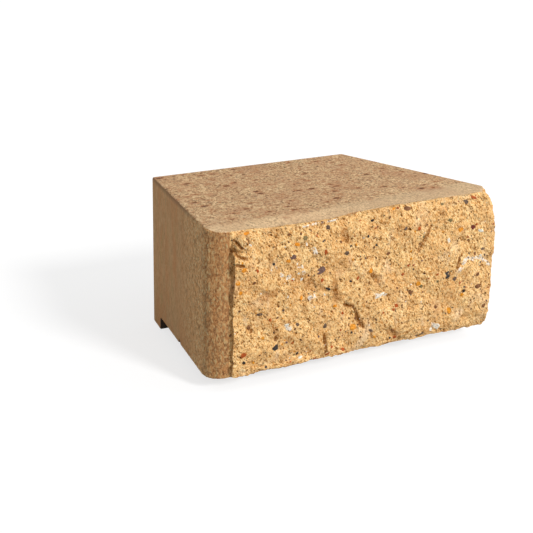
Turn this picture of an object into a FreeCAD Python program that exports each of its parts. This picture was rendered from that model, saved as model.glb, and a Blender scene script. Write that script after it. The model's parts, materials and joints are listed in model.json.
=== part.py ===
import FreeCAD, Part
import math
import os
import Sketcher

# Retaining wall block: one solid piece of cast concrete, in millimetres.
# X runs along the wall face, Y from the split face to the rear, Z up.

# Driving dimensions of the block
driving_sizes = {
    "body_height": 130.0,       # course height, from the bed face to the top face
    "front_width": 300.0,       # width at the front plane, to the sharp corners
    "rear_width": 214.0,        # width across the rear face
    "body_depth": 186.0,        # from the front plane to the rear face
    "corner_radius": 14.0,      # rounded corners beside the split face
    "lip_height": 12.0,         # drop of the rear lip below the bed face
    "lip_thickness": 26.0,      # rear lip at its foot, front to back
    "lip_draft": 1.5,           # how far the lip's front face leans over its height
    "arris_radius": 1.5,        # worn edge round the moulded top
    "split_left_margin": 21.0,  # from the sharp left corner to the split face
    "split_right_margin": 5.0,  # from the sharp right corner to the split face
    "split_bulge": 6.0,         # how far the split face stands out at mid height
    "split_lean": 3.0,          # how much further it stands out at its right end
    "split_relief": 1.5,        # height of its broad swells
    "break_reach": 20.0,        # broken top right corner, along its edges
    "break_radius": 60.0,       # curvature of that broken corner
}

# Form of the fracture
crown_power = 6                 # flatness of the bulge between top and bottom
crown_edge = 0.25               # share of the bulge that is left at top and bottom
swell_columns = 2.6             # broad swells across the split face
swell_rows = 1.4                # broad swells up the split face
swell_start = 1.0               # where in a swell the left end begins, in radians
swell_slant = 2.0               # how far the swells slant from left to right, in radians
lump_columns = 6.7              # lumps across the split face
lump_rows = 3.3                 # lumps up the split face
lump_slant = 5.0                # how far the lumps slant, in radians
lump_share = 0.85               # their height, against the height of the swells
grid_columns = 31               # stations of the fracture surface across
grid_rows = 17                  # stations of the fracture surface upwards

# Room for the cutting shapes
overrun = 5.0                   # how far they run past the block
hair = 0.01                     # smallest length that counts

document = FreeCAD.newDocument("retaining_wall_block")


def make_sheet(values):
    """Write each driving dimension into a named cell of a spreadsheet."""
    sheet = document.addObject("Spreadsheet::Sheet", "sizes")
    for row, (alias, value) in enumerate(values.items(), start=1):
        sheet.set(f"A{row}", alias)
        sheet.set(f"B{row}", str(value))
        sheet.setAlias(f"B{row}", alias)
    document.recompute()
    return sheet


def new_sketch(body, name, role):
    """Start a sketch on one of the body's own origin planes."""
    sketch = body.newObject("Sketcher::SketchObject", name)
    plane = next(item for item in body.Origin.OriginFeatures if item.Role == role)
    sketch.AttachmentSupport = [(plane, "")]
    sketch.MapMode = "FlatFace"
    return sketch


def draw_outline(sketch, corners):
    """Draw a closed outline whose corners are bound to expressions of the sizes."""
    points = [
        FreeCAD.Vector(sketch.evalExpression(across), sketch.evalExpression(along), 0)
        for across, along in corners
    ]
    for start, end in zip(points, points[1:] + points[:1]):
        sketch.addGeometry(Part.LineSegment(start, end), False)
    for index in range(len(points)):
        following = (index + 1) % len(points)
        sketch.addConstraint(Sketcher.Constraint("Coincident", index, 2, following, 1))
    for index, (across, along) in enumerate(corners):
        for kind, expression in (("DistanceX", across), ("DistanceY", along)):
            value = sketch.evalExpression(expression)
            number = sketch.addConstraint(Sketcher.Constraint(kind, -1, 1, index, 1, value))
            sketch.setExpression(f"Constraints[{number}]", expression)


def add_fillet(body, name, radius, wanted):
    """Round the edges of the body whose middles pass a test."""
    document.recompute()
    base = body.Tip
    edges = [
        f"Edge{number}"
        for number, edge in enumerate(base.Shape.Edges, start=1)
        if wanted(edge.CenterOfMass)
    ]
    fillet = body.newObject("PartDesign::Fillet", name)
    fillet.Base = (base, edges)
    fillet.setExpression("Radius", radius)


def cut_away(name, base, tool):
    """Cut one object from another."""
    cut = document.addObject("Part::Cut", name)
    cut.Base = base
    cut.Tool = tool
    document.recompute()
    return cut


def make_blank(sizes):
    """Mould the whole block, with the neck where it is split from its twin."""
    body = document.addObject("PartDesign::Body", "blank")
    half_front = sizes.front_width / 2
    full_height = sizes.body_height + sizes.lip_height

    # Tapered plan, as high as the block with its lip
    plan = new_sketch(body, "plan", "XY_Plane")
    draw_outline(plan, [
        ("-sizes.front_width / 2", "0"),
        ("sizes.front_width / 2", "0"),
        ("sizes.rear_width / 2", "sizes.body_depth"),
        ("-sizes.rear_width / 2", "sizes.body_depth"),
    ])
    mass = body.newObject("PartDesign::Pad", "mass")
    mass.Profile = plan
    mass.setExpression("Length", "sizes.body_height + sizes.lip_height")

    # Rounded corners beside the split face
    add_fillet(body, "front_corners", "sizes.corner_radius",
               lambda middle: abs(abs(middle.x) - half_front) < hair)

    # Worn edge round the top
    add_fillet(body, "top_arris", "sizes.arris_radius",
               lambda middle: abs(middle.z - full_height) < hair)

    # Underside cut up to the bed face, which leaves the lip at the rear
    step = new_sketch(body, "step", "YZ_Plane")
    lip_foot = "sizes.body_depth - sizes.lip_thickness"
    draw_outline(step, [
        (f"-{overrun}", f"-{overrun}"),
        (lip_foot, f"-{overrun}"),
        (lip_foot, "0"),
        (f"{lip_foot} - sizes.lip_draft", "sizes.lip_height"),
        (f"-{overrun}", "sizes.lip_height"),
    ])
    underside = body.newObject("PartDesign::Pocket", "underside")
    underside.Profile = step
    underside.Type = "ThroughAll"
    underside.Midplane = True

    # Neck that stands in front of the corners until the block is split
    neck_plan = new_sketch(body, "neck_plan", "XY_Plane")
    neck_plan.setExpression("AttachmentOffset.Base.z", "sizes.lip_height")
    left = "-sizes.front_width / 2 + sizes.split_left_margin"
    right = "sizes.front_width / 2 - sizes.split_right_margin"
    reach = "-sizes.split_bulge - sizes.split_lean - 2 * sizes.split_relief"
    draw_outline(neck_plan, [
        (left, reach),
        (right, reach),
        (right, "sizes.corner_radius"),
        (left, "sizes.corner_radius"),
    ])
    neck = body.newObject("PartDesign::Pad", "neck")
    neck.Profile = neck_plan
    neck.setExpression("Length", "sizes.body_height")
    document.recompute()
    return body


def fracture_depth(sizes, across, up):
    """Place of the fracture behind the front plane, at shares of its width and height."""
    crown = 1 - (1 - crown_edge) * abs(2 * up - 1) ** crown_power
    stand_out = (sizes.split_bulge + sizes.split_lean * across ** 2) * crown
    columns = math.sin(2 * math.pi * swell_columns * across + swell_start)
    rows = math.cos(2 * math.pi * swell_rows * up + swell_slant * across)
    lump_across = math.sin(2 * math.pi * lump_columns * across + lump_slant * up)
    lump_up = math.cos(2 * math.pi * lump_rows * up - lump_slant * across)
    relief = columns * rows + lump_share * lump_across * lump_up
    return -stand_out - sizes.split_relief * relief


def make_fracture(sizes):
    """Make the solid in front of the fracture, which comes away when the block is split."""
    left = -sizes.front_width / 2 + sizes.split_left_margin
    width = sizes.front_width - sizes.split_left_margin - sizes.split_right_margin
    rows = []
    for row in range(grid_rows):
        up = row / (grid_rows - 1)
        stations = [column / (grid_columns - 1) for column in range(grid_columns)]
        rows.append([
            FreeCAD.Vector(
                left + width * across,
                fracture_depth(sizes, across, up),
                sizes.lip_height - hair + up * (sizes.body_height + 2 * hair),
            )
            for across in stations
        ])
    surface = Part.BSplineSurface()
    surface.interpolate(rows)
    reach = sizes.split_bulge + sizes.split_lean + 2 * sizes.split_relief + overrun
    fracture = document.addObject("Part::Feature", "fracture")
    fracture.Shape = surface.toShape().extrude(FreeCAD.Vector(0, -2 * reach, 0))
    return fracture


def make_corner_waste():
    """Make the piece that is broken off the top right corner of the face."""
    inset = "(sizes.break_reach + sqrt(3 * sizes.break_radius ^ 2 - 2 * sizes.break_reach ^ 2)) / 3"
    centre = {
        "x": f"sizes.front_width / 2 - sizes.split_right_margin / 2 - {inset}",
        "y": f"{inset} - sizes.split_bulge / 2",
        "z": f"sizes.lip_height + sizes.body_height - {inset}",
    }
    forward = f"({inset} + sizes.split_bulge + sizes.split_lean + {overrun})"

    corner = document.addObject("Part::Box", "corner")
    corner.setExpression("Length", f"{inset} + sizes.split_right_margin / 2 + {overrun}")
    corner.setExpression("Width", forward)
    corner.setExpression("Height", f"{inset} + {overrun}")
    corner.setExpression("Placement.Base.x", centre["x"])
    corner.setExpression("Placement.Base.y", f"{centre['y']} - {forward}")
    corner.setExpression("Placement.Base.z", centre["z"])

    core = document.addObject("Part::Sphere", "core")
    core.setExpression("Radius", "sizes.break_radius")
    for axis, place in centre.items():
        core.setExpression(f"Placement.Base.{axis}", place)
    return cut_away("corner_waste", corner, core)


def check_model():
    """Stop if any object failed or the block is not one valid solid."""
    for item in document.Objects:
        if "Invalid" in item.State or "Error" in item.State:
            raise RuntimeError(f"{item.Label} failed: {item.State}")
        shape = getattr(item, "Shape", None)
        if shape is not None and not item.isDerivedFrom("App::OriginFeature"):
            if shape.isNull() or not shape.isValid():
                raise RuntimeError(f"{item.Label} has no valid shape")
    if len(wall_block.Shape.Solids) != 1:
        raise RuntimeError("the block is not one solid")
    if not wall_block.Shape.Volume < split_blank.Shape.Volume < blank.Shape.Volume:
        raise RuntimeError("a break took nothing away")


sizes = make_sheet(driving_sizes)
blank = make_blank(sizes)
split_blank = cut_away("split_blank", blank, make_fracture(sizes))
wall_block = cut_away("wall_block", split_blank, make_corner_waste())

# The origin lies under the middle of the block, level with the foot of the lip
outer_box = wall_block.Shape.optimalBoundingBox()
wall_block.Placement.Base = FreeCAD.Vector(-outer_box.Center.x, -outer_box.Center.y, 0)
document.recompute()
check_model()

os.makedirs("parts", exist_ok=True)
wall_block.Shape.exportStep(f"parts/{wall_block.Label}.step")
final_box = wall_block.Shape.optimalBoundingBox()
print("box", final_box)
print("volume in litres", round(wall_block.Shape.Volume / 1e6, 3))
print("front plane at y", round(-outer_box.Center.y, 3))
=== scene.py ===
import bpy
import json
import math
import random
from mathutils import Euler, Matrix, Vector, kdtree

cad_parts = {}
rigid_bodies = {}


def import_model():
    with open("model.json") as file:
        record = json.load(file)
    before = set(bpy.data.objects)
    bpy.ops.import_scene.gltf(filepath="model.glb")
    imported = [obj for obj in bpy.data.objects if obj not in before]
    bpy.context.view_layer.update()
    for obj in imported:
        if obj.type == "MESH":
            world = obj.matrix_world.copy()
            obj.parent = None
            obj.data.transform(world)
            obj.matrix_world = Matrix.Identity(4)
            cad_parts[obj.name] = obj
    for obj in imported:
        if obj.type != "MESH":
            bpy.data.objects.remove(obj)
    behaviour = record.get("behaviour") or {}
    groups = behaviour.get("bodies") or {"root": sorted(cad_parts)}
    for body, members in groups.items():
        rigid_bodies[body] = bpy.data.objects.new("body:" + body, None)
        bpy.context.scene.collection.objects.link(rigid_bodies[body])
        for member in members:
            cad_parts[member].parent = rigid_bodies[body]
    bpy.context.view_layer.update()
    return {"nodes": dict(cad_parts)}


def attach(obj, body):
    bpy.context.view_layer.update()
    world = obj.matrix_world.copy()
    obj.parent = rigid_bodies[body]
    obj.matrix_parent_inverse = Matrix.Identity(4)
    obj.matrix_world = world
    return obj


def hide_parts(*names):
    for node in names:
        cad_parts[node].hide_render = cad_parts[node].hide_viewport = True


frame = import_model()
mm = 0.001
print("frame loaded")


# Small helpers for working by hand

leastWeight = 0.001               # points with less weight than this stay out of a group


def selectOnly(obj):
    bpy.ops.object.select_all(action="DESELECT")
    obj.select_set(True)
    bpy.context.view_layer.objects.active = obj


def duplicateOf(obj):
    selectOnly(obj)
    bpy.ops.object.duplicate()
    return bpy.context.active_object


def joinTo(piece, others):
    bpy.ops.object.select_all(action="DESELECT")
    for other in others:
        other.select_set(True)
    piece.select_set(True)
    bpy.context.view_layer.objects.active = piece
    bpy.ops.object.join()


def applyModifier(obj, kind, **values):
    selectOnly(obj)
    modifier = obj.modifiers.new(kind.lower(), kind)
    for name, value in values.items():
        setattr(modifier, name, value)
    bpy.ops.object.modifier_apply(modifier=modifier.name)


def countTriangles(obj):
    return sum(len(face.vertices) - 2 for face in obj.data.polygons)


def ramp(low, high, value):
    # rises softly from 0 at low to 1 at high
    share = min(max((value - low) / (high - low), 0.0), 1.0)
    return share * share * (3 - 2 * share)


def addGroup(obj, name, weightAt):
    group = obj.vertex_groups.new(name=name)
    for vertex in obj.data.vertices:
        weight = weightAt(vertex.co)
        if weight > leastWeight:
            group.add([vertex.index], weight, "REPLACE")


def displace(obj, group, strength, kind="", size=1.0, direction="NORMAL", midLevel=0.5, **values):
    texture = None
    if kind:
        texture = bpy.data.textures.new(group, kind)
        texture.noise_scale = size
        for key, value in values.items():
            setattr(texture, key, value)
    applyModifier(obj, "DISPLACE", texture=texture, strength=strength, vertex_group=group,
                  direction=direction, mid_level=midLevel, texture_coords="LOCAL")


# Camera, where the photograph was taken

view = {
    "place": (-0.6278, -0.9560, 0.4286),
    "yaw": 31.55,                 # in degrees, as the pitch and roll
    "pitch": 17.65,
    "roll": 0.885,
    "lens": 87.07,
    "sensor": 36,
}


def makeCamera():
    bpy.ops.object.camera_add(location=view["place"])
    camera = bpy.context.active_object
    camera.name = "photoCamera"
    facing = Euler((math.radians(90 - view["pitch"]), 0, -math.radians(view["yaw"])))
    turn = facing.to_matrix() @ Matrix.Rotation(math.radians(view["roll"]), 3, "Z")
    camera.rotation_euler = turn.to_euler()
    camera.data.lens = view["lens"]
    camera.data.sensor_width = view["sensor"]
    bpy.context.scene.camera = camera


makeCamera()
print("camera set")


# The block, cast in one piece

block = {
    "voxel": 0.8 * mm,
    "weld": 0.01 * mm,
    "frontPlane": -87.6 * mm,     # the plane of the smooth front corners
    "bed": 12 * mm,
    "top": 142 * mm,
    "triangles": 168000,          # before the stones are set in
    "splitCare": 6,               # how strongly the split face is spared from the thinning
    "smoothAngle": 35,            # in degrees
    "knobRounds": 4,              # subdivisions of a knob's sphere
    "hollowRounds": 14,           # rounds of smoothing that hollows are measured against

    # extent of the split face, and how softly its edges begin
    "splitLeft": -129 * mm,
    "splitRight": 145 * mm,
    "frontBlur": 0.6 * mm,
    "leftBlur": (2 * mm, 0.4 * mm),
    "rightBlur": 2 * mm,
    "topBlur": (0.2 * mm, 1.5 * mm),
    "breakOffset": 3 * mm,        # the broken corner's middle, past the right end
    "breakReach": (20 * mm, 30 * mm),

    # relief of the split face
    "swellSize": 30 * mm,
    "swellHeight": 1.2 * mm,
    "lumpSize": 13 * mm,
    "lumpHeight": 3.0 * mm,
    "lumpLevel": 0.35,
    "chipSize": 5.5 * mm,
    "chipHeight": 1.2 * mm,
    "grainSize": 2.6 * mm,
    "grainHeight": 0.6 * mm,
    "calmShare": 0.75,            # height that swells and lumps keep at the top and bottom edges
    "calmReach": 8 * mm,
    "markDepth": 2.6 * mm,
    "markSize": 4 * mm,
    "markCore": 0.25,             # share of a mark's reach that is at its full depth
    "fullReach": 2.4,             # marks with a longer reach than this are fainter

    # smoother band along the front of the top, and how far it drops along its length
    "bandWidth": 15 * mm,
    "bandStart": -1 * mm,
    "bandDrop": 4.5 * mm,
    "bandFoot": 40 * mm,
    "bandShares": [(-150, 0.55), (-110, 0.65), (-85, 1.0), (-30, 1.0), (-5, 0.45), (40, 0.25), (150, 0.2)],

    # lower right end of the fracture, and the nick in the left side
    "endTrim": 2.6 * mm,
    "trimHeight": (26 * mm, 42 * mm),
    "trimAcross": (136 * mm, 143 * mm),
    "nick": (-129 * mm, 3 * mm, 12 * mm),
    "nickCore": 0.6 * mm,
    "nickReach": 3.4 * mm,
    "nickDepth": 4.5 * mm,

    # which faces get the top's finish
    "topFacing": 0.7,
    "topDepth": 12 * mm,
}

# Lumps at the corners and edges of the split face: middle and half sizes, in millimetres
knobs = [
    ((-121.0, -91.0, 130.5), (7.0, 5.5, 8.5)),
    ((143.2, -89.0, 60.0), (5.2, 6.0, 20.0)),
    ((134.0, -88.5, 137.0), (5.5, 6.0, 4.6)),
    ((136.8, -89.0, 132.5), (5.0, 6.0, 5.0)),
    ((139.5, -89.5, 127.0), (5.0, 6.0, 7.0)),
    ((-72.0, -90.0, 15.5), (32.0, 3.5, 3.6)),
]

# Marks on the split face: lines of places across and up, and their reach, in millimetres
# the brown marks are partly painted shade, along ledges, cracks and crevices
brownAndShadeMarks = [
    ([(-17.7, 59.5), (-9.1, 56.2), (-5.7, 51.9), (-1.0, 41.8), (2.5, 35.6)], 2.1),
    ([(-31.0, 82.0), (-28.5, 74.0), (-25.5, 66.0)], 5.5),
    ([(-128.0, 124.5), (-124.5, 119.5), (-118.0, 117.0)], 2.4),
    ([(-127.5, 112.5), (-121.0, 110.5)], 2.0),
    ([(-116.0, 136.0), (-114.5, 130.0)], 1.4),
    ([(-127.3, 134.5), (-125.0, 130.0), (-122.0, 127.0)], 1.2),
    ([(-101.0, 78.0), (-88.0, 82.0)], 5.5),
    ([(-89.0, 48.5), (-87.0, 41.0)], 4.2),
    ([(-38.7, 35.6), (-36.3, 25.9), (-36.1, 19.4)], 2.2),
    ([(33.0, 25.0), (38.0, 21.5)], 4.5),
    ([(9.0, 83.0), (16.0, 76.0)], 4.5),
    ([(-62.0, 90.0), (-50.0, 80.0)], 6.5),
    ([(-113.0, 55.0), (-111.0, 51.0)], 3.2),
    ([(104.5, 84.0), (103.0, 76.0)], 2.0),
    ([(72.0, 118.0), (60.0, 98.0)], 3.5),
    ([(-20.0, 128.0), (-16.0, 118.0)], 6.0),
]
paleMarks = [
    ([(104.7, 72.8), (112.1, 82.1), (115.5, 83.5), (122.8, 80.5), (129.9, 81.4), (141.4, 72.9)], 2.6),
    ([(-93.7, 102.2)], 1.5),
    ([(-88.5, 104.5), (-87.0, 103.0)], 1.5),
    ([(-83.5, 97.0), (-81.5, 95.5)], 2.2),
    ([(-76.0, 92.5), (-74.0, 93.5)], 2.4),
    ([(-66.8, 104.0), (-65.5, 100.5)], 1.8),
    ([(-61.5, 96.5), (-60.5, 94.0)], 2.2),
    ([(-55.0, 72.0), (-50.0, 73.0)], 3.0),
    ([(14.0, 63.5), (20.5, 61.5), (25.0, 62.5)], 1.8),
    ([(-78.0, 50.0), (-74.5, 48.0)], 3.2),
    ([(-52.0, 117.0), (-50.0, 112.0)], 2.4),
    # a painted highlight along the top edge of the split face
    ([(-62.0, 139.5), (-25.0, 141.0)], 1.0),
    ([(82.0, 22.5), (86.5, 21.0)], 3.4),
]


def splitWeight(place):
    # 1 on the split face and the broken corner, 0 on the moulded faces
    inFront = 1 - ramp(-block["frontBlur"], block["frontBlur"], place.y - block["frontPlane"])
    outer, inner = block["leftBlur"]
    acrossLeft = ramp(block["splitLeft"] - outer, block["splitLeft"] - inner, place.x)
    acrossRight = 1 - ramp(block["splitRight"], block["splitRight"] + block["rightBlur"], place.x)
    corner = Vector((block["splitRight"] + block["breakOffset"], block["frontPlane"], block["top"]))
    broken = 1 - ramp(*block["breakReach"], (place - corner).length)
    offTop = ramp(*block["topBlur"], block["top"] - place.z)
    return max(inFront * acrossLeft * acrossRight, broken * offTop)


def dropWeight(place):
    # the front band of the top slopes down to its edge, most at the left of the middle
    across = place.x / mm
    depth = 0
    for (first, low), (last, high) in zip(block["bandShares"], block["bandShares"][1:]):
        if first <= across < last:
            depth = low + (high - low) * (across - first) / (last - first)
    nearFront = 1 - ramp(block["bandStart"], block["bandWidth"], place.y - block["frontPlane"])
    return depth * nearFront * ramp(block["top"] - block["bandFoot"], block["top"], place.z)


def trimWeight(place):
    # the right end of the fracture draws in at the bottom
    low = 1 - ramp(*block["trimHeight"], place.z)
    return low * ramp(*block["trimAcross"], place.x) * splitWeight(place)


def nickWeight(place):
    # a small nick in the bottom edge of the left side
    return 1 - ramp(block["nickCore"], block["nickReach"], (place - Vector(block["nick"])).length)


def calmWeight(place):
    fromEdge = min(block["top"] - place.z, place.z - block["bed"])
    calm = block["calmShare"]
    return splitWeight(place) * (calm + (1 - calm) * ramp(0, block["calmReach"], fromEdge))


def distanceToLine(spot, points):
    nearest = min((spot - Vector(point)).length for point in points)
    for start, end in zip(points, points[1:]):
        run = Vector(end) - Vector(start)
        share = (spot - Vector(start)).dot(run) / run.length_squared
        if 0 < share < 1:
            nearest = min(nearest, (spot - Vector(start) - share * run).length)
    return nearest


def markWeight(place, marks):
    if splitWeight(place) < 0.5:
        return 0
    spot = Vector((place.x, place.z)) / mm
    weights = []
    for points, reach in marks:
        full = min(1, block["fullReach"] / reach)
        weights.append(full * (1 - ramp(block["markCore"] * reach, reach, distanceToLine(spot, points))))
    return max(weights)


def copyNode(node, name):
    piece = duplicateOf(node)
    piece.name = name
    piece.data.name = name
    bpy.ops.object.parent_clear(type="CLEAR_KEEP_TRANSFORM")
    bpy.ops.object.mode_set(mode="EDIT")
    bpy.ops.mesh.select_all(action="SELECT")
    bpy.ops.mesh.remove_doubles(threshold=block["weld"])
    bpy.ops.object.mode_set(mode="OBJECT")
    return piece


def addKnobs(piece):
    for middle, half in knobs:
        bpy.ops.object.select_all(action="DESELECT")
        bpy.ops.mesh.primitive_ico_sphere_add(
            subdivisions=block["knobRounds"], radius=1, location=Vector(middle) * mm, scale=Vector(half) * mm)
        bpy.ops.object.transform_apply(location=True, rotation=True, scale=True)
        joinTo(piece, [bpy.context.active_object])


def breakFace(piece):
    addGroup(piece, "splitFace", splitWeight)
    addGroup(piece, "calmEdges", calmWeight)
    addGroup(piece, "brownAndShadeMark", lambda place: markWeight(place, brownAndShadeMarks))
    addGroup(piece, "paleMark", lambda place: markWeight(place, paleMarks))
    addGroup(piece, "frontDrop", dropWeight)
    addGroup(piece, "endTrim", trimWeight)
    addGroup(piece, "nick", nickWeight)
    displace(piece, "frontDrop", -block["bandDrop"], direction="Z", midLevel=0.0)
    displace(piece, "endTrim", -block["endTrim"], direction="X", midLevel=0.0)
    displace(piece, "nick", block["nickDepth"], direction="Z", midLevel=0.0)
    displace(piece, "brownAndShadeMark", block["markDepth"], "CLOUDS", block["markSize"], direction="Y",
             midLevel=0.0, noise_depth=2)
    displace(piece, "calmEdges", block["swellHeight"], "CLOUDS", block["swellSize"], noise_depth=1)
    displace(piece, "calmEdges", block["lumpHeight"], "CLOUDS", block["lumpSize"], noise_depth=4,
             noise_type="HARD_NOISE", midLevel=block["lumpLevel"])
    displace(piece, "splitFace", -block["chipHeight"], "VORONOI", block["chipSize"])
    displace(piece, "splitFace", -block["grainHeight"], "VORONOI", block["grainSize"])
    print("displaced")


def makeBlock():
    piece = copyNode(frame["nodes"]["wall_block"], "wallBlock")
    addKnobs(piece)
    applyModifier(piece, "REMESH", mode="VOXEL", voxel_size=block["voxel"], use_smooth_shade=True)
    print("remeshed", len(piece.data.polygons))
    breakFace(piece)
    share = block["triangles"] / (2 * len(piece.data.polygons))
    applyModifier(piece, "DECIMATE", ratio=share, vertex_group="splitFace",
                  vertex_group_factor=block["splitCare"], invert_vertex_group=True)
    print("triangles", countTriangles(piece))
    return piece


def groupWeights(piece, name):
    weights = [0.0] * len(piece.data.vertices)
    number = piece.vertex_groups[name].index
    for vertex in piece.data.vertices:
        for entry in vertex.groups:
            if entry.group == number:
                weights[vertex.index] = entry.weight
    return weights


def addAttribute(piece, name, values):
    attribute = piece.data.attributes.new(name, "FLOAT", "POINT")
    attribute.data.foreach_set("value", values)


def measureHollows(piece):
    # how far each point lies below the smoothed surface round it, in millimetres
    smoothed = duplicateOf(piece)
    applyModifier(smoothed, "SMOOTH", factor=0.5, iterations=block["hollowRounds"])
    depths = [
        (flat.co - rough.co).dot(rough.normal) / mm
        for flat, rough in zip(smoothed.data.vertices, piece.data.vertices)
    ]
    bpy.data.objects.remove(smoothed, do_unlink=True)
    print("hollows", round(min(depths), 2), round(max(depths), 2))
    return depths


wallBlock = makeBlock()
hollows = measureHollows(wallBlock)
for markColor in ("brownAndShade", "pale"):
    addAttribute(wallBlock, markColor + "Tone", groupWeights(wallBlock, markColor + "Mark"))


# Nodes that the finishes share

def feed(tree, socket, value):
    if isinstance(value, bpy.types.NodeSocket):
        tree.links.new(value, socket)
    else:
        socket.default_value = value


def addNode(tree, kind, inputs=None, **values):
    node = tree.nodes.new(kind)
    for name, value in values.items():
        setattr(node, name, value)
    for name, value in (inputs or {}).items():
        feed(tree, node.inputs[name], value)
    return node


def mixColors(tree, share, first, second, blend="MIX"):
    node = addNode(tree, "ShaderNodeMix", {0: share}, data_type="RGBA", blend_type=blend)
    for index, color in ((6, first), (7, second)):
        feed(tree, node.inputs[index], (*color, 1) if isinstance(color, tuple) else color)
    return node.outputs[2]


def mapValue(tree, value, low, high, first=0.0, last=1.0):
    node = addNode(tree, "ShaderNodeMapRange", {
        "Value": value, "From Min": low, "From Max": high, "To Min": first, "To Max": last,
    })
    return node.outputs["Result"]


def calculate(tree, operation, first, second):
    return addNode(tree, "ShaderNodeMath", {0: first, 1: second}, operation=operation).outputs[0]


def multiply(tree, first, second):
    return calculate(tree, "MULTIPLY", first, second)


def shiftPlace(tree, place, offset):
    return addNode(tree, "ShaderNodeVectorMath", {0: place, 1: offset}, operation="ADD").outputs[0]


def scaleVector(tree, vector, scale):
    return addNode(tree, "ShaderNodeVectorMath", {0: vector, "Scale": scale}, operation="SCALE").outputs[0]


def newGroup(name, inputs, outputs):
    # every group takes a place first
    group = bpy.data.node_groups.new(name, "ShaderNodeTree")
    group.interface.new_socket("Place", in_out="INPUT", socket_type="NodeSocketVector")
    for socketName in inputs:
        group.interface.new_socket(socketName, in_out="INPUT", socket_type="NodeSocketFloat")
    for socketName in outputs:
        group.interface.new_socket(socketName, in_out="OUTPUT", socket_type="NodeSocketFloat")
    return group, group.nodes.new("NodeGroupInput").outputs, group.nodes.new("NodeGroupOutput").inputs


# Angular grains of sand: each has its own tone, and some of the gaps between them are open
sandForm = {
    "wander": 1.6,                # how far the grains' outlines wander
    "dustScale": 1.1,             # dust, against the scale of the grains
    "dustRange": (0.38, 0.62),
    "ownShare": 0.4,              # share of the tone that a grain has all over
    "openScale": 0.45,            # areas of open gaps, against the scale of the grains
    "gapRange": (-0.04, 0.03),
    "gapDepth": 1.5,
}


def makeSandGroup():
    group, given, results = newGroup("sand", ["Scale", "Gaps"], ["Tone", "Gap", "Height"])
    place, scale = given["Place"], given["Scale"]
    wander = addNode(group, "ShaderNodeTexNoise", {"Vector": place, "Scale": scale, "Detail": 2.0})
    centred = addNode(group, "ShaderNodeVectorMath", {0: wander.outputs["Color"], 1: (0.5, 0.5, 0.5)},
                      operation="SUBTRACT").outputs[0]
    reach = calculate(group, "DIVIDE", sandForm["wander"], scale)
    bent = shiftPlace(group, place, scaleVector(group, centred, reach))
    cells = addNode(group, "ShaderNodeTexVoronoi", {"Vector": bent, "Scale": scale})
    edges = addNode(group, "ShaderNodeTexVoronoi", {"Vector": bent, "Scale": scale},
                    feature="DISTANCE_TO_EDGE")
    own = addNode(group, "ShaderNodeSeparateColor", {"Color": cells.outputs["Color"]}).outputs["Red"]
    fine = addNode(group, "ShaderNodeTexNoise", {
        "Vector": place, "Scale": multiply(group, scale, sandForm["dustScale"]),
        "Detail": 2.0, "Roughness": 0.7,
    })
    dust = mapValue(group, fine.outputs["Fac"], *sandForm["dustRange"])
    tone = calculate(group, "ADD", multiply(group, own, sandForm["ownShare"]),
                     multiply(group, dust, 1 - sandForm["ownShare"]))
    openness = addNode(group, "ShaderNodeTexNoise", {
        "Vector": place, "Scale": multiply(group, scale, sandForm["openScale"]), "Detail": 2.0,
    })
    width = calculate(group, "SUBTRACT", given["Gaps"], openness.outputs["Fac"])
    inside = calculate(group, "SUBTRACT", width, edges.outputs["Distance"])
    gap = mapValue(group, inside, *sandForm["gapRange"])
    height = calculate(group, "SUBTRACT", tone, multiply(group, gap, sandForm["gapDepth"]))
    for name, value in (("Tone", tone), ("Gap", gap), ("Height", height)):
        group.links.new(value, results[name])
    return group


# Wide soft patches, as from uneven mixing and drying
patchForm = {
    "warmRange": (0.42, 0.68),
    "paleRange": (0.56, 0.74),
    "paleShift": (3.7, 1.9, 5.3),
}


def makePatchGroup():
    group, given, results = newGroup("patches", ["Scale"], ["Warm", "Pale"])
    place, scale = given["Place"], given["Scale"]
    warm = addNode(group, "ShaderNodeTexNoise", {
        "Vector": place, "Scale": scale, "Detail": 3.0, "Roughness": 0.55, "Distortion": 0.4,
    })
    pale = addNode(group, "ShaderNodeTexNoise", {
        "Vector": shiftPlace(group, place, patchForm["paleShift"]), "Scale": scale,
        "Detail": 2.0, "Roughness": 0.6, "Distortion": 0.8,
    })
    group.links.new(mapValue(group, warm.outputs["Fac"], *patchForm["warmRange"]), results["Warm"])
    group.links.new(mapValue(group, pale.outputs["Fac"], *patchForm["paleRange"]), results["Pale"])
    return group


# Small separate pits with soft rims
pitForm = {
    "bendScale": 420.0,
    "bend": 0.0022,
    "sizes": (0.10, 0.32),        # smallest and largest pit, as shares of a cell
    "rim": 0.10,
    "stain": 0.32,                # how far the stain goes past the pit
}


def makePitGroup():
    group, given, results = newGroup("pits", ["Scale", "Share"], ["Pit", "Stain"])
    place = given["Place"]
    bend = addNode(group, "ShaderNodeTexNoise", {
        "Vector": place, "Scale": pitForm["bendScale"], "Detail": 1.0,
    })
    bent = shiftPlace(group, place, scaleVector(group, bend.outputs["Color"], pitForm["bend"]))
    cells = addNode(group, "ShaderNodeTexVoronoi", {"Vector": bent, "Scale": given["Scale"]})
    chance = addNode(group, "ShaderNodeSeparateColor", {"Color": cells.outputs["Color"]})
    chosen = calculate(group, "LESS_THAN", chance.outputs["Red"], given["Share"])
    reach = mapValue(group, chance.outputs["Green"], 0.0, 1.0, *pitForm["sizes"])
    inside = calculate(group, "SUBTRACT", reach, cells.outputs["Distance"])
    for name, start in (("Pit", 0.0), ("Stain", -pitForm["stain"])):
        depth = mapValue(group, inside, start, pitForm["rim"])
        group.links.new(multiply(group, depth, chosen), results[name])
    return group


sandGroup = makeSandGroup()
patchGroup = makePatchGroup()
pitGroup = makePitGroup()


def placeGroup(tree, group, **inputs):
    return addNode(tree, "ShaderNodeGroup", inputs, node_tree=group).outputs


def readAttribute(tree, name):
    return addNode(tree, "ShaderNodeAttribute", attribute_name=name, attribute_type="GEOMETRY").outputs["Fac"]


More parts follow.
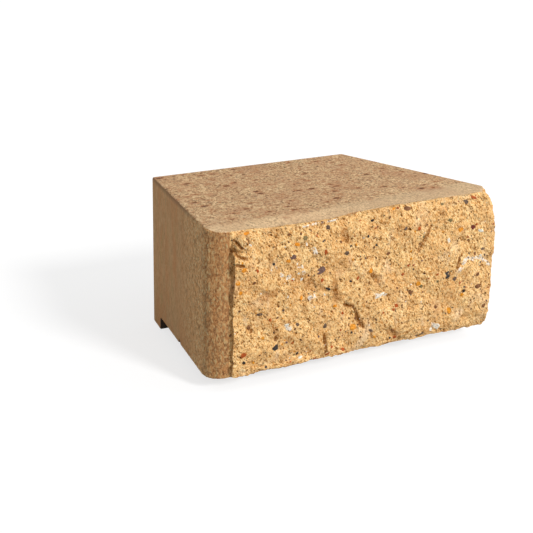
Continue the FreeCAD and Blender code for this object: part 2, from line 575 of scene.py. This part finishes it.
def stretchPlace(tree, place, **values):
    return addNode(tree, "ShaderNodeMapping", {"Vector": place, **values}).outputs[0]


def addNoise(tree, place, scale, detail, roughness=0.5):
    return addNode(tree, "ShaderNodeTexNoise", {
        "Vector": place, "Scale": scale, "Detail": detail, "Roughness": roughness,
    }).outputs["Fac"]


def spread(tree, value, colors):
    # colours from dark to light, evenly over the value
    node = addNode(tree, "ShaderNodeValToRGB", {"Fac": value})
    stops = node.color_ramp.elements
    while len(stops) < len(colors):
        stops.new(0.5)
    for number, color in enumerate(colors):
        stops[number].position = number / (len(colors) - 1)
        stops[number].color = (*color, 1)
    return node.outputs["Color"]


def newMaterial(name, roughness, specular):
    material = bpy.data.materials.new(name)
    material.use_nodes = True
    tree = material.node_tree
    shader = tree.nodes["Principled BSDF"]
    shader.inputs["Roughness"].default_value = roughness
    shader.inputs["Specular IOR Level"].default_value = specular
    place = addNode(tree, "ShaderNodeTexCoord").outputs["Object"]
    return material, tree, shader, place


def addBump(tree, shader, height, distance, strength):
    bump = addNode(tree, "ShaderNodeBump", {"Height": height, "Distance": distance, "Strength": strength})
    tree.links.new(bump.outputs["Normal"], shader.inputs["Normal"])


# Finish of the split face

splitLook = {
    "darkGrain": (0.46, 0.175, 0.035),
    "middleGrain": (0.95, 0.57, 0.225),
    "lightGrain": (0.97, 0.735, 0.385),
    "grainScale": 1050.0,
    "slant": 58.0,                # grains lie from the upper left to the lower right
    "stretch": 1.9,
    "toneRange": (0.10, 0.88),
    # colour of the open gaps, and of the painted shade in deep places
    "gapAndShadeColor": (0.25, 0.07, 0.001),
    "gaps": 0.45,
    "gapShare": 0.85,
    "pitColor": (0.14, 0.038, 0.001),
    "pitScale": 430.0,
    "pitShare": 0.6,
    "warmColor": (0.56, 0.235, 0.065),
    "warmShare": 0.38,
    "paleColor": (0.90, 0.72, 0.50),
    "paleShare": 0.35,
    "patchScale": 52.0,
    "patchFlatten": 0.55,         # under 1, so the patches are drawn out upwards
    "whiteColor": (0.92, 0.84, 0.72),
    "whiteRange": (0.15, 0.5, 0.0, 0.85),
    "crumbScale": 450.0,          # what makes the white marks ragged
    "crumbRange": (0.43, 0.53),
    # brown marks, partly painted shade of ledges, cracks and crevices
    "brownAndShadeColor": (0.19, 0.055, 0.003),
    "tintRange": (0.0, 0.5, 0.0, 0.5),
    "brownAndShadeRange": (0.0, 0.5, 0.0, 0.85),
    "brownAndShadeGrain": (1.0, 0.35),    # brown is weaker on pale grains than on dark ones
    "clumpScale": 300.0,          # what makes the brown marks ragged
    "clumpRange": (0.38, 0.62, -0.5, 0.05),
    "clumpStart": 0.1,
    # painted shade: the deeper a place lies below its smoothed surround, the darker
    "hollowShadeRange": (0.5, 1.6, 0.0, 0.6),
    "roughness": 0.9,
    "specular": 0.05,
    "bumpDepth": 0.9 * mm,
    "bumpStrength": 0.8,
}


def makeSplitFinish():
    look = splitLook
    material, tree, shader, place = newMaterial("splitFace", look["roughness"], look["specular"])
    slanted = addNode(tree, "ShaderNodeMapping", {
        "Vector": place, "Rotation": (0, math.radians(look["slant"]), 0), "Scale": (look["stretch"], 1, 1),
    }, vector_type="TEXTURE").outputs[0]
    sand = placeGroup(tree, sandGroup, Place=slanted, Scale=look["grainScale"], Gaps=look["gaps"])
    pits = placeGroup(tree, pitGroup, Place=slanted, Scale=look["pitScale"], Share=look["pitShare"])
    upright = stretchPlace(tree, place, Scale=(1.0, 1.0, look["patchFlatten"]))
    patches = placeGroup(tree, patchGroup, Place=upright, Scale=look["patchScale"])
    color = spread(tree, mapValue(tree, sand["Tone"], *look["toneRange"]),
                   [look["darkGrain"], look["middleGrain"], look["lightGrain"]])
    color = mixColors(tree, multiply(tree, patches["Warm"], look["warmShare"]), color, look["warmColor"])
    color = mixColors(tree, multiply(tree, patches["Pale"], look["paleShare"]), color, look["paleColor"])

    # white marks, and a painted highlight along the top edge
    crumbs = addNoise(tree, place, look["crumbScale"], 2.0)
    white = multiply(tree, readAttribute(tree, "paleTone"), mapValue(tree, crumbs, *look["crumbRange"]))
    color = mixColors(tree, mapValue(tree, white, *look["whiteRange"]), color, look["whiteColor"])

    # brown marks, partly painted shade of ledges, cracks and crevices: a soft warm tint, and ragged brown and
    # shade in its middle
    brownAndShadeTone = readAttribute(tree, "brownAndShadeTone")
    color = mixColors(tree, mapValue(tree, brownAndShadeTone, *look["tintRange"]), color, look["warmColor"])
    clumps = addNoise(tree, place, look["clumpScale"], 4.0, 0.7)
    worn = multiply(tree, mapValue(tree, clumps, *look["clumpRange"]),
                    mapValue(tree, brownAndShadeTone, 0.0, look["clumpStart"]))
    brownAndShade = multiply(tree, calculate(tree, "ADD", brownAndShadeTone, worn),
                     mapValue(tree, sand["Tone"], *look["brownAndShadeGrain"]))
    color = mixColors(tree, mapValue(tree, brownAndShade, *look["brownAndShadeRange"]), color, look["brownAndShadeColor"])

    # gaps and pits, and painted shade in the deep places
    color = mixColors(tree, multiply(tree, sand["Gap"], look["gapShare"]), color, look["gapAndShadeColor"])
    color = mixColors(tree, pits["Pit"], color, look["pitColor"])
    hollowShade = mapValue(tree, readAttribute(tree, "hollowShade"), *look["hollowShadeRange"])
    color = mixColors(tree, hollowShade, color, look["gapAndShadeColor"])
    tree.links.new(color, shader.inputs["Base Color"])
    height = calculate(tree, "SUBTRACT", sand["Height"], pits["Pit"])
    addBump(tree, shader, height, look["bumpDepth"], look["bumpStrength"])
    return material


# Finish of the pressed top

topLook = {
    "darkGrain": (0.05, 0.02, 0.006),
    "middleGrain": (0.60, 0.385, 0.197),
    "lightGrain": (0.86, 0.64, 0.375),
    "grainScale": 560.0,
    "gaps": 0.52,
    "gapShare": 0.6,
    "warmColor": (0.44, 0.235, 0.12),
    "warmShare": 0.6,
    "paleColor": (0.60, 0.43, 0.265),
    "paleShare": 0.35,
    "patchScale": 40.0,
    "bandColor": (0.60, 0.43, 0.255),
    "bandShare": 0.45,
    "bandWander": 6 * mm,
    "bandLean": (-50 * mm, 150 * mm, 0.0, 18 * mm),   # the band widens to the right
    "bandEdge": (-3 * mm, 6 * mm),                    # where it fades out, past its width
    "pitColor": (0.09, 0.028, 0.01),
    "pitShare": 0.9,
    "pits": (130.0, 0.35),        # scale and share
    "finePits": (250.0, 0.6),
    "pitFlatten": 0.6,            # under 1, so the pits are drawn out across
    "stainColor": (0.40, 0.15, 0.055),
    "stainShare": 0.65,
    "roughness": 0.85,
    "specular": 0.2,
    "grainHeight": 0.25,
    "bumpDepth": 0.8 * mm,
    "bumpStrength": 0.6,
}


def makeTopFinish():
    look = topLook
    material, tree, shader, place = newMaterial("pressedTop", look["roughness"], look["specular"])
    sand = placeGroup(tree, sandGroup, Place=place, Scale=look["grainScale"], Gaps=look["gaps"])
    patches = placeGroup(tree, patchGroup, Place=place, Scale=look["patchScale"])
    flattened = stretchPlace(tree, place, Scale=(look["pitFlatten"], 1.0, 1.0))
    pits, finePits = (
        placeGroup(tree, pitGroup, Place=flattened, Scale=scale, Share=share)
        for scale, share in (look["pits"], look["finePits"])
    )

    # the band along the front is smoother, so what is rough stays behind it
    axes = addNode(tree, "ShaderNodeSeparateXYZ", {0: place}).outputs
    wander = calculate(tree, "SUBTRACT", multiply(tree, patches["Warm"], look["bandWander"]),
                       mapValue(tree, axes["X"], *look["bandLean"]))
    behind = calculate(tree, "ADD", axes["Y"], wander)
    bandEnd = block["frontPlane"] + block["bandWidth"]
    inner, outer = look["bandEdge"]
    band = mapValue(tree, behind, bandEnd + inner, bandEnd + outer, 1.0, 0.0)
    rough = calculate(tree, "SUBTRACT", 1.0, band)

    color = spread(tree, sand["Tone"], [look["darkGrain"], look["middleGrain"], look["lightGrain"]])
    color = mixColors(tree, multiply(tree, patches["Warm"], look["warmShare"]), color, look["warmColor"])
    color = mixColors(tree, multiply(tree, patches["Pale"], look["paleShare"]), color, look["paleColor"])
    color = mixColors(tree, multiply(tree, band, look["bandShare"]), color, look["bandColor"])
    for stain, share in ((sand["Gap"], look["gapShare"]), (pits["Stain"], look["stainShare"])):
        stained = multiply(tree, multiply(tree, stain, share), rough)
        color = mixColors(tree, stained, color, look["stainColor"])
    pitted = multiply(tree, calculate(tree, "MAXIMUM", pits["Pit"], finePits["Pit"]), rough)
    color = mixColors(tree, multiply(tree, pitted, look["pitShare"]), color, look["pitColor"])
    tree.links.new(color, shader.inputs["Base Color"])
    height = calculate(tree, "SUBTRACT", multiply(tree, sand["Height"], look["grainHeight"]), pitted)
    addBump(tree, shader, height, look["bumpDepth"], look["bumpStrength"])
    return material


# Finish of the moulded sides, the rear and the underside

sideLook = {
    "baseColor": (0.54, 0.30, 0.13),
    "lightColor": (0.76, 0.46, 0.22),
    "streakScale": 420.0,
    "streakGaps": 0.42,
    "streakFlatten": 0.3,         # under 1, so the streaks are drawn out upwards
    "warmColor": (0.66, 0.27, 0.095),
    "warmShare": 0.6,
    "oliveColor": (0.56, 0.39, 0.16),
    "oliveShare": 0.7,
    "patchScale": 75.0,
    # the grainy front of the side is partly lighter as painted light, and its returns carry painted shade
    "cornerDark": (0.32, 0.142, 0.045),
    "cornerMiddle": (1.0, 0.53, 0.21),
    "cornerLight": (1.0, 0.90, 0.50),
    "cornerStart": 5 * mm,        # from here to the front the side turns grainy
    "cornerFull": -60 * mm,
    "cornerShare": (0.15, 0.9),
    "grainScale": 680.0,
    "grainFlatten": 0.55,
    "gaps": 0.5,
    "gapShare": 0.5,
    "returnShade": (0.465, 0.40, 0.342),
    "returnReach": (18 * mm, 3 * mm),          # behind the front plane
    "speckColor": (0.34, 0.17, 0.08),
    "speckShare": 0.7,
    "pitScale": 90.0,
    "pitShare": 0.06,
    # painted shade in a dark rim just under the top's edge
    "rimShadeColor": (0.20, 0.10, 0.05),
    "rimShadeShare": 0.6,
    "rimShadeHeight": (-5 * mm, -1 * mm),           # from the top
    "rimShadeAlong": (-65 * mm, -20 * mm),
    # painted shade for the lip's front face and the nick
    "shadeColor": (0.05, 0.03, 0.018),
    "shadeHeight": (11.8 * mm, 11.0 * mm),     # the lip's front face is dark
    "lipFront": (72.8 * mm, 73.3 * mm),
    "nickEdge": (0.8, 1.2),                    # against the reach of the nick
    "nickShade": 0.9,
    "roughness": 0.8,
    "specular": 0.25,
    "grainHeight": (0.15, 1.0),                # at the rear and at the front
    "streakHeight": 0.3,
    "bumpDepth": 0.7 * mm,
    "bumpStrength": 0.7,
}


def makeSideFinish():
    look = sideLook
    material, tree, shader, place = newMaterial("mouldedSide", look["roughness"], look["specular"])
    drawn = stretchPlace(tree, place, Scale=(1.0, 1.0, look["streakFlatten"]))
    upright = stretchPlace(tree, place, Scale=(1.0, 1.0, look["grainFlatten"]))
    streaks = placeGroup(tree, sandGroup, Place=drawn, Scale=look["streakScale"], Gaps=look["streakGaps"])
    sand = placeGroup(tree, sandGroup, Place=upright, Scale=look["grainScale"], Gaps=look["gaps"])
    patches = placeGroup(tree, patchGroup, Place=drawn, Scale=look["patchScale"])
    pits = placeGroup(tree, pitGroup, Place=place, Scale=look["pitScale"], Share=look["pitShare"])
    axes = addNode(tree, "ShaderNodeSeparateXYZ", {0: place}).outputs
    along, upward = axes["Y"], axes["Z"]

    # streaks towards the rear
    color = mixColors(tree, streaks["Tone"], look["baseColor"], look["lightColor"])
    color = mixColors(tree, multiply(tree, patches["Warm"], look["warmShare"]), color, look["warmColor"])
    color = mixColors(tree, multiply(tree, patches["Pale"], look["oliveShare"]), color, look["oliveColor"])

    # grains towards the front, lighter there partly as painted light, and painted shade on the corner returns
    corner = mapValue(tree, along, look["cornerStart"], look["cornerFull"])
    sandyAndPaintedLight = spread(tree, sand["Tone"], [look["cornerDark"], look["cornerMiddle"], look["cornerLight"]])
    sandyAndPaintedLight = mixColors(tree, multiply(tree, sand["Gap"], look["gapShare"]), sandyAndPaintedLight, look["speckColor"])
    far, near = look["returnReach"]
    front = mapValue(tree, along, block["frontPlane"] + far, block["frontPlane"] + near)
    sandyAndPaintedLight = mixColors(tree, front, sandyAndPaintedLight, look["returnShade"], "MULTIPLY")
    color = mixColors(tree, mapValue(tree, corner, 0.0, 1.0, *look["cornerShare"]), color, sandyAndPaintedLight)
    color = mixColors(tree, multiply(tree, pits["Pit"], look["speckShare"]), color, look["speckColor"])

    # painted shade: a dark rim under the top's edge, on the lip's front face and in the nick
    low, high = look["rimShadeHeight"]
    rim = mapValue(tree, upward, block["top"] + low, block["top"] + high, 0.0, look["rimShadeShare"])
    rim = multiply(tree, rim, mapValue(tree, along, *look["rimShadeAlong"]))
    color = mixColors(tree, rim, color, look["rimShadeColor"])
    # painted shade on the lip's front face
    under = mapValue(tree, upward, *look["shadeHeight"])
    lip = mapValue(tree, along, *look["lipFront"], 1.0, 0.0)
    color = mixColors(tree, multiply(tree, under, lip), color, look["shadeColor"])
    # painted shade in the nick
    fromNick = addNode(tree, "ShaderNodeVectorMath", {0: place, 1: block["nick"]}, operation="DISTANCE")
    inner, outer = look["nickEdge"]
    nick = mapValue(tree, fromNick.outputs["Value"], inner * block["nickReach"], outer * block["nickReach"],
                    look["nickShade"], 0.0)
    color = mixColors(tree, nick, color, look["shadeColor"])
    tree.links.new(color, shader.inputs["Base Color"])

    fine = multiply(tree, sand["Height"], mapValue(tree, corner, 0.0, 1.0, *look["grainHeight"]))
    height = calculate(tree, "ADD", fine, multiply(tree, streaks["Tone"], look["streakHeight"]))
    height = calculate(tree, "SUBTRACT", height, pits["Pit"])
    addBump(tree, shader, height, look["bumpDepth"], look["bumpStrength"])
    return material


def finishBlock(piece):
    piece.data.materials.clear()
    for material in (makeSplitFinish(), makeTopFinish(), makeSideFinish()):
        piece.data.materials.append(material)
    weights = groupWeights(piece, "splitFace")
    for face in piece.data.polygons:
        onSplit = sum(weights[index] for index in face.vertices) / len(face.vertices) > 0.5
        if onSplit:
            face.material_index = 0
        elif face.normal.z > block["topFacing"] and face.center.z > block["top"] - block["topDepth"]:
            face.material_index = 1
        else:
            face.material_index = 2
    piece.vertex_groups.clear()


finishBlock(wallBlock)
print("concrete finished")


# Stones of the mix that show in the split face: colour and roughness

stoneKinds = {
    "orangeStone": ((0.70, 0.245, 0.004), 0.6),
    "amberStone": ((0.70, 0.27, 0.012), 0.6),
    "rustStone": ((0.42, 0.078, 0.006), 0.7),
    "redStone": ((0.15, 0.022, 0.01), 0.6),
    "brownStone": ((0.18, 0.068, 0.018), 0.65),
    "oliveStone": ((0.19, 0.135, 0.045), 0.6),
    "slateStone": ((0.12, 0.07, 0.04), 0.6),
    "blackStone": ((0.02, 0.013, 0.008), 0.5),
    "purpleStone": ((0.15, 0.078, 0.058), 0.6),
    "whiteStone": ((0.92, 0.76, 0.60), 0.5),
}

# Large stones by place across, place up, width and height, in millimetres
stones = [
    ("orangeStone", -118.5, 137.6, 6.5, 2.4),
    ("purpleStone", -72.5, 111.1, 8.9, 4.4), ("purpleStone", -43.9, 94.7, 9.2, 5.4),
    ("orangeStone", -68.9, 121.5, 6.0, 3.5), ("orangeStone", -76.9, 108.0, 5.9, 3.5),
    ("orangeStone", -119.5, 106.3, 5.7, 4.3), ("orangeStone", -125.3, 96.1, 4.7, 4.3),
    ("orangeStone", -122.7, 87.2, 3.8, 3.5), ("amberStone", -8.7, 37.5, 7.0, 5.5),
    ("orangeStone", -28.5, 60.2, 5.2, 2.8), ("orangeStone", -63.2, 73.4, 4.0, 4.5),
    ("orangeStone", 106.7, 110.4, 5.9, 4.7), ("orangeStone", 30.1, 139.6, 5.4, 2.7),
    ("orangeStone", 8.2, 86.4, 4.3, 4.6), ("amberStone", 61.5, 66.0, 5.7, 4.8),
    ("amberStone", 112.8, 47.1, 4.8, 3.9), ("amberStone", 97.9, 34.5, 7.1, 6.9),
    ("oliveStone", -60.7, 125.8, 6.0, 4.4), ("oliveStone", 93.8, 120.6, 5.8, 3.8),
    ("oliveStone", 83.3, 136.9, 5.7, 2.8), ("blackStone", -88.1, 32.8, 8.0, 6.4),
    ("blackStone", -36.0, 77.0, 6.2, 2.7), ("blackStone", 94.3, 69.4, 7.0, 7.7),
    ("blackStone", 7.6, 132.0, 4.3, 2.7), ("slateStone", -38.4, 132.1, 5.1, 4.4),
    ("slateStone", -17.7, 106.2, 5.2, 3.6), ("slateStone", -104.4, 65.7, 5.9, 2.7),
    ("slateStone", -38.6, 44.0, 4.2, 4.6), ("slateStone", 103.0, 64.3, 5.9, 4.9),
    ("slateStone", 110.7, 135.7, 5.8, 4.7), ("slateStone", 44.4, 119.7, 4.4, 3.7),
    ("slateStone", 133.9, 88.3, 4.8, 2.9), ("slateStone", 67.9, 17.4, 5.8, 2.9),
    ("slateStone", 10.9, 30.6, 6.6, 2.9), ("rustStone", -42.7, 85.7, 3.1, 3.6),
    ("rustStone", -39.5, 110.2, 4.1, 6.2), ("rustStone", -119.5, 32.0, 5.8, 4.5),
    ("rustStone", -93.8, 59.1, 3.0, 2.7), ("rustStone", -34.9, 17.4, 5.3, 2.8),
    ("rustStone", -18.9, 18.4, 5.4, 3.8), ("rustStone", -71.5, 34.5, 3.0, 1.8),
    ("rustStone", 119.9, 138.5, 7.1, 2.8), ("rustStone", 59.4, 117.6, 3.4, 3.7),
    ("rustStone", -5.3, 81.9, 2.1, 4.6), ("rustStone", 109.6, 59.2, 3.6, 2.9),
    ("rustStone", 37.5, 19.3, 5.6, 3.9), ("rustStone", 37.9, 49.4, 4.5, 3.8),
    ("redStone", 120.7, 110.7, 7.1, 5.7), ("brownStone", -115.1, 55.8, 4.8, 5.3),
    ("brownStone", 44.3, 138.0, 7.7, 4.1), ("brownStone", 125.1, 84.9, 3.6, 3.9),
    ("brownStone", 131.2, 52.4, 6.1, 4.0), ("brownStone", 26.2, 99.5, 5.5, 3.7),
    ("brownStone", 82.9, 40.4, 5.8, 3.9), ("brownStone", 52.9, 59.6, 4.5, 5.7),
    ("brownStone", 139.8, 32.1, 4.9, 5.0), ("whiteStone", -76.5, 95.0, 2.4, 2.0),
    ("whiteStone", -71.8, 91.5, 2.2, 1.8), ("whiteStone", -66.5, 95.5, 2.6, 2.6),
    ("whiteStone", -63.0, 101.0, 2.0, 3.0), ("whiteStone", -77.3, 51.5, 4.6, 3.0),
    ("whiteStone", -63.0, 19.5, 5.1, 2.8), ("whiteStone", 93.5, 101.8, 4.6, 5.7),
    ("whiteStone", 130.6, 106.1, 7.2, 2.9), ("whiteStone", 84.8, 21.4, 9.4, 6.9),
    ("whiteStone", 78.4, 19.8, 3.5, 3.9), ("whiteStone", 19.3, 62.0, 11.0, 2.8),
]

stoneLook = {
    "darker": 0.38,               # the dark and light tones, against the stone's own colour
    "lighter": 1.3,
    "lift": 0.02,
    "lightest": 0.95,
    "grainScale": 700.0,
    "gaps": 0.45,
    "toneShare": 0.85,
    "patchScale": 330.0,
    "dustRange": (0.5, 0.9, 0.0, 0.5),
    "specular": 0.2,
    "bumpDepth": 0.4 * mm,
    "bumpStrength": 0.6,
}

setting = {
    "seed": 5,
    "corners": (4, 5, 6, 7, 8),   # one shape of stone for each number of corners
    "uneven": 0.28,
    "worn": 0.14,
    "thickness": 0.42,            # half of it, against the smaller of width and height
    "seat": 0.7,                  # share of the grains round a stone that lie lower than its front
    "standOut": 0.25 * mm,
    "aimDepth": 6 * mm,           # how far in front of the front plane the large stones' places are
    "largeReach": 0.4,            # how far round it a stone's seat is felt for, as a share of its size
    "smallReach": 0.5,
    "largeTurn": 0.5,             # the most that a stone is turned, in radians
    "smallTurn": 1.5,
    # painted shade round each large stone, added to the shade of the hollows
    "shadeReach": 0.62,           # darker surface round a large stone, as a share of its size
    "shadeDepth": 0.35,           # what is added to the hollows there, in millimetres
}

scatter = {
    "count": 380,
    "smallest": 1.0 * mm,
    "largest": 3.4 * mm,
    "flattest": 0.5,
    "bottomMargin": 2 * mm,
    "topMargin": 3 * mm,
    "start": -200 * mm,           # well in front of the block
    "kinds": [("brownStone", 9), ("blackStone", 3), ("slateStone", 2), ("rustStone", 5),
              ("amberStone", 4), ("whiteStone", 3), ("oliveStone", 2), ("purpleStone", 1)],
}


def makeStoneFinish(name, color, roughness):
    look = stoneLook
    material, tree, shader, place = newMaterial(name, roughness, look["specular"])
    sand = placeGroup(tree, sandGroup, Place=place, Scale=look["grainScale"], Gaps=look["gaps"])
    patches = placeGroup(tree, patchGroup, Place=place, Scale=look["patchScale"])
    dark = tuple(channel * look["darker"] for channel in color)
    light = tuple(min(channel * look["lighter"] + look["lift"], look["lightest"]) for channel in color)
    mixed = mixColors(tree, patches["Warm"], light, color)
    mixed = mixColors(tree, multiply(tree, sand["Tone"], look["toneShare"]), mixed, dark)
    dusted = mapValue(tree, patches["Pale"], *look["dustRange"])
    mixed = mixColors(tree, dusted, mixed, splitLook["middleGrain"])
    tree.links.new(mixed, shader.inputs["Base Color"])
    addBump(tree, shader, sand["Tone"], look["bumpDepth"], look["bumpStrength"])
    return material


def makeStoneShape(corners):
    # a broken stone with a flat front
    bpy.ops.object.select_all(action="DESELECT")
    bpy.ops.mesh.primitive_cylinder_add(vertices=corners, radius=1, depth=2, rotation=(math.pi / 2, 0, 0))
    stone = bpy.context.active_object
    stone.name = "brokenStone" + str(corners)
    bpy.ops.object.transform_apply(location=False, rotation=True, scale=False)
    bpy.ops.object.mode_set(mode="EDIT")
    bpy.ops.mesh.select_all(action="SELECT")
    bpy.ops.transform.vertex_random(offset=setting["uneven"], seed=corners)
    bpy.ops.mesh.bevel(offset=setting["worn"], segments=1)
    bpy.ops.object.mode_set(mode="OBJECT")
    return stone


def findSeat(piece, spots, hit, reach):
    # a stone lies with the surface round it, level with the higher grains
    near = [piece.data.vertices[index] for place, index, distance in spots.find_range(hit, reach)]
    facing = sum((vertex.normal for vertex in near), Vector((0, -1, 0))).normalized()
    levels = sorted((vertex.co - hit).dot(facing) for vertex in near) or [0.0]
    return hit + facing * levels[int(setting["seat"] * (len(levels) - 1))], facing


def setStone(source, finish, seat, facing, width, height, turn):
    thickness = setting["thickness"] * min(width, height)
    tilt = facing.to_track_quat("-Y", "Z").to_matrix().to_4x4()
    shape = Matrix.Diagonal((width / 2, thickness, height / 2, 1))
    middle = seat - facing * (thickness - setting["standOut"])
    stone = source.copy()
    stone.data = source.data.copy()
    stone.data.transform(Matrix.Translation(middle) @ tilt @ Matrix.Rotation(turn, 4, "Y") @ shape)
    stone.data.materials.clear()
    stone.data.materials.append(finish)
    bpy.context.scene.collection.objects.link(stone)
    return stone


def setLargeStones(piece, spots, shapes, finishes, chance):
    # each lies where the camera sees its place, and painted shade darkens the surface round it
    camera = Vector(view["place"])
    made = []
    for kind, across, up, width, height in stones:
        aim = Vector((across * mm, block["frontPlane"] - setting["aimDepth"], up * mm)) - camera
        found, hit = piece.ray_cast(camera, aim.normalized())[:2]
        if found:
            size = max(width, height)
            seat, facing = findSeat(piece, spots, hit, setting["largeReach"] * size * mm)
            shape = chance.choice(shapes)
            turn = chance.uniform(-setting["largeTurn"], setting["largeTurn"])
            made.append(setStone(shape, finishes[kind], seat, facing, width * mm, height * mm, turn))
            for place, index, distance in spots.find_range(hit, setting["shadeReach"] * size * mm):
                hollows[index] += setting["shadeDepth"]
    return made


def scatterStones(piece, spots, shapes, finishes, chance):
    # small stones, the smallest ones most often, and each kind as often as its number says
    kinds = [kind for kind, amount in scatter["kinds"] for number in range(amount)]
    made = []
    for number in range(scatter["count"]):
        across = chance.uniform(block["splitLeft"], block["splitRight"])
        up = chance.uniform(block["bed"] + scatter["bottomMargin"], block["top"] - scatter["topMargin"])
        width = scatter["smallest"] + (scatter["largest"] - scatter["smallest"]) * chance.random() ** 2
        finish = finishes[chance.choice(kinds)]
        found, hit = piece.ray_cast(Vector((across, scatter["start"], up)), Vector((0, 1, 0)))[:2]
        if found:
            seat, facing = findSeat(piece, spots, hit, setting["smallReach"] * width)
            shape = chance.choice(shapes)
            height = width * chance.uniform(scatter["flattest"], 1.0)
            turn = chance.uniform(-setting["smallTurn"], setting["smallTurn"])
            made.append(setStone(shape, finish, seat, facing, width, height, turn))
    return made


def addStones(piece):
    finishes = {name: makeStoneFinish(name, *look) for name, look in stoneKinds.items()}
    shapes = [makeStoneShape(corners) for corners in setting["corners"]]
    spots = kdtree.KDTree(len(piece.data.vertices))
    for vertex in piece.data.vertices:
        spots.insert(vertex.co, vertex.index)
    spots.balance()
    chance = random.Random(setting["seed"])
    made = setLargeStones(piece, spots, shapes, finishes, chance)
    made += scatterStones(piece, spots, shapes, finishes, chance)
    for shape in shapes:
        bpy.data.objects.remove(shape, do_unlink=True)
    joinTo(piece, made)
    # depths that set the painted shade in hollows and round the large stones
    addAttribute(piece, "hollowShade", hollows + [0.0] * (len(piece.data.vertices) - len(hollows)))
    print("stones", len(made))


addStones(wallBlock)
selectOnly(wallBlock)
bpy.ops.object.shade_smooth_by_angle(angle=math.radians(block["smoothAngle"]))
print("triangles in all", countTriangles(wallBlock))
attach(wallBlock, "root")
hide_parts("wall_block")


# Floor and light

studio = {
    "floorSize": 12.0,
    "floorColor": 0.34,
    "floorGlow": 0.72,            # light of its own, which only the camera and reflections see
    "keyTowards": (0.2, -0.84, 0.5),
    "keyStrength": 3.0,
    "keyAngle": 14,
    "sidePlace": (0.8, -0.35, 0.5),
    "sideWatts": 3.4,
    "sideSize": 0.7,
    "fillStrength": 0.40,
}


def seenDirectly(tree):
    path = addNode(tree, "ShaderNodeLightPath").outputs
    seen = calculate(tree, "MAXIMUM", path["Is Camera Ray"], path["Is Glossy Ray"])
    return calculate(tree, "MAXIMUM", seen, path["Is Transmission Ray"])


def makeFloor():
    bpy.ops.object.select_all(action="DESELECT")
    bpy.ops.mesh.primitive_plane_add(size=studio["floorSize"], location=(0, 0, 0))
    floor = bpy.context.active_object
    floor.name = "floor"
    material, tree, shader, place = newMaterial("paleFloor", 1.0, 0.0)
    grey = studio["floorColor"]
    shader.inputs["Base Color"].default_value = (grey, grey, grey, 1)
    shader.inputs["Emission Color"].default_value = (1, 1, 1, 1)
    glow = multiply(tree, seenDirectly(tree), studio["floorGlow"])
    tree.links.new(glow, shader.inputs["Emission Strength"])
    floor.data.materials.append(material)


def makeLight(name, kind, place, strength, towards):
    bpy.ops.object.light_add(type=kind, location=place)
    light = bpy.context.active_object
    light.name = name
    light.data.energy = strength
    light.rotation_euler = Vector(towards).to_track_quat("Z", "Y").to_euler()
    return light.data


def makeLights():
    key = makeLight("keyLight", "SUN", (0, 0, 2), studio["keyStrength"], studio["keyTowards"])
    key.angle = math.radians(studio["keyAngle"])
    side = makeLight("sideLight", "AREA", studio["sidePlace"], studio["sideWatts"], studio["sidePlace"])
    side.size = studio["sideSize"]
    world = bpy.data.worlds.new("studio")
    bpy.context.scene.world = world
    world.use_nodes = True
    tree = world.node_tree
    background = tree.nodes["Background"]
    background.inputs["Color"].default_value = (1, 1, 1, 1)
    level = mapValue(tree, seenDirectly(tree), 0.0, 1.0, studio["fillStrength"], 1.0)
    tree.links.new(level, background.inputs["Strength"])


makeFloor()
makeLights()
bpy.context.scene.view_settings.view_transform = "Standard"
print("floor and light set")
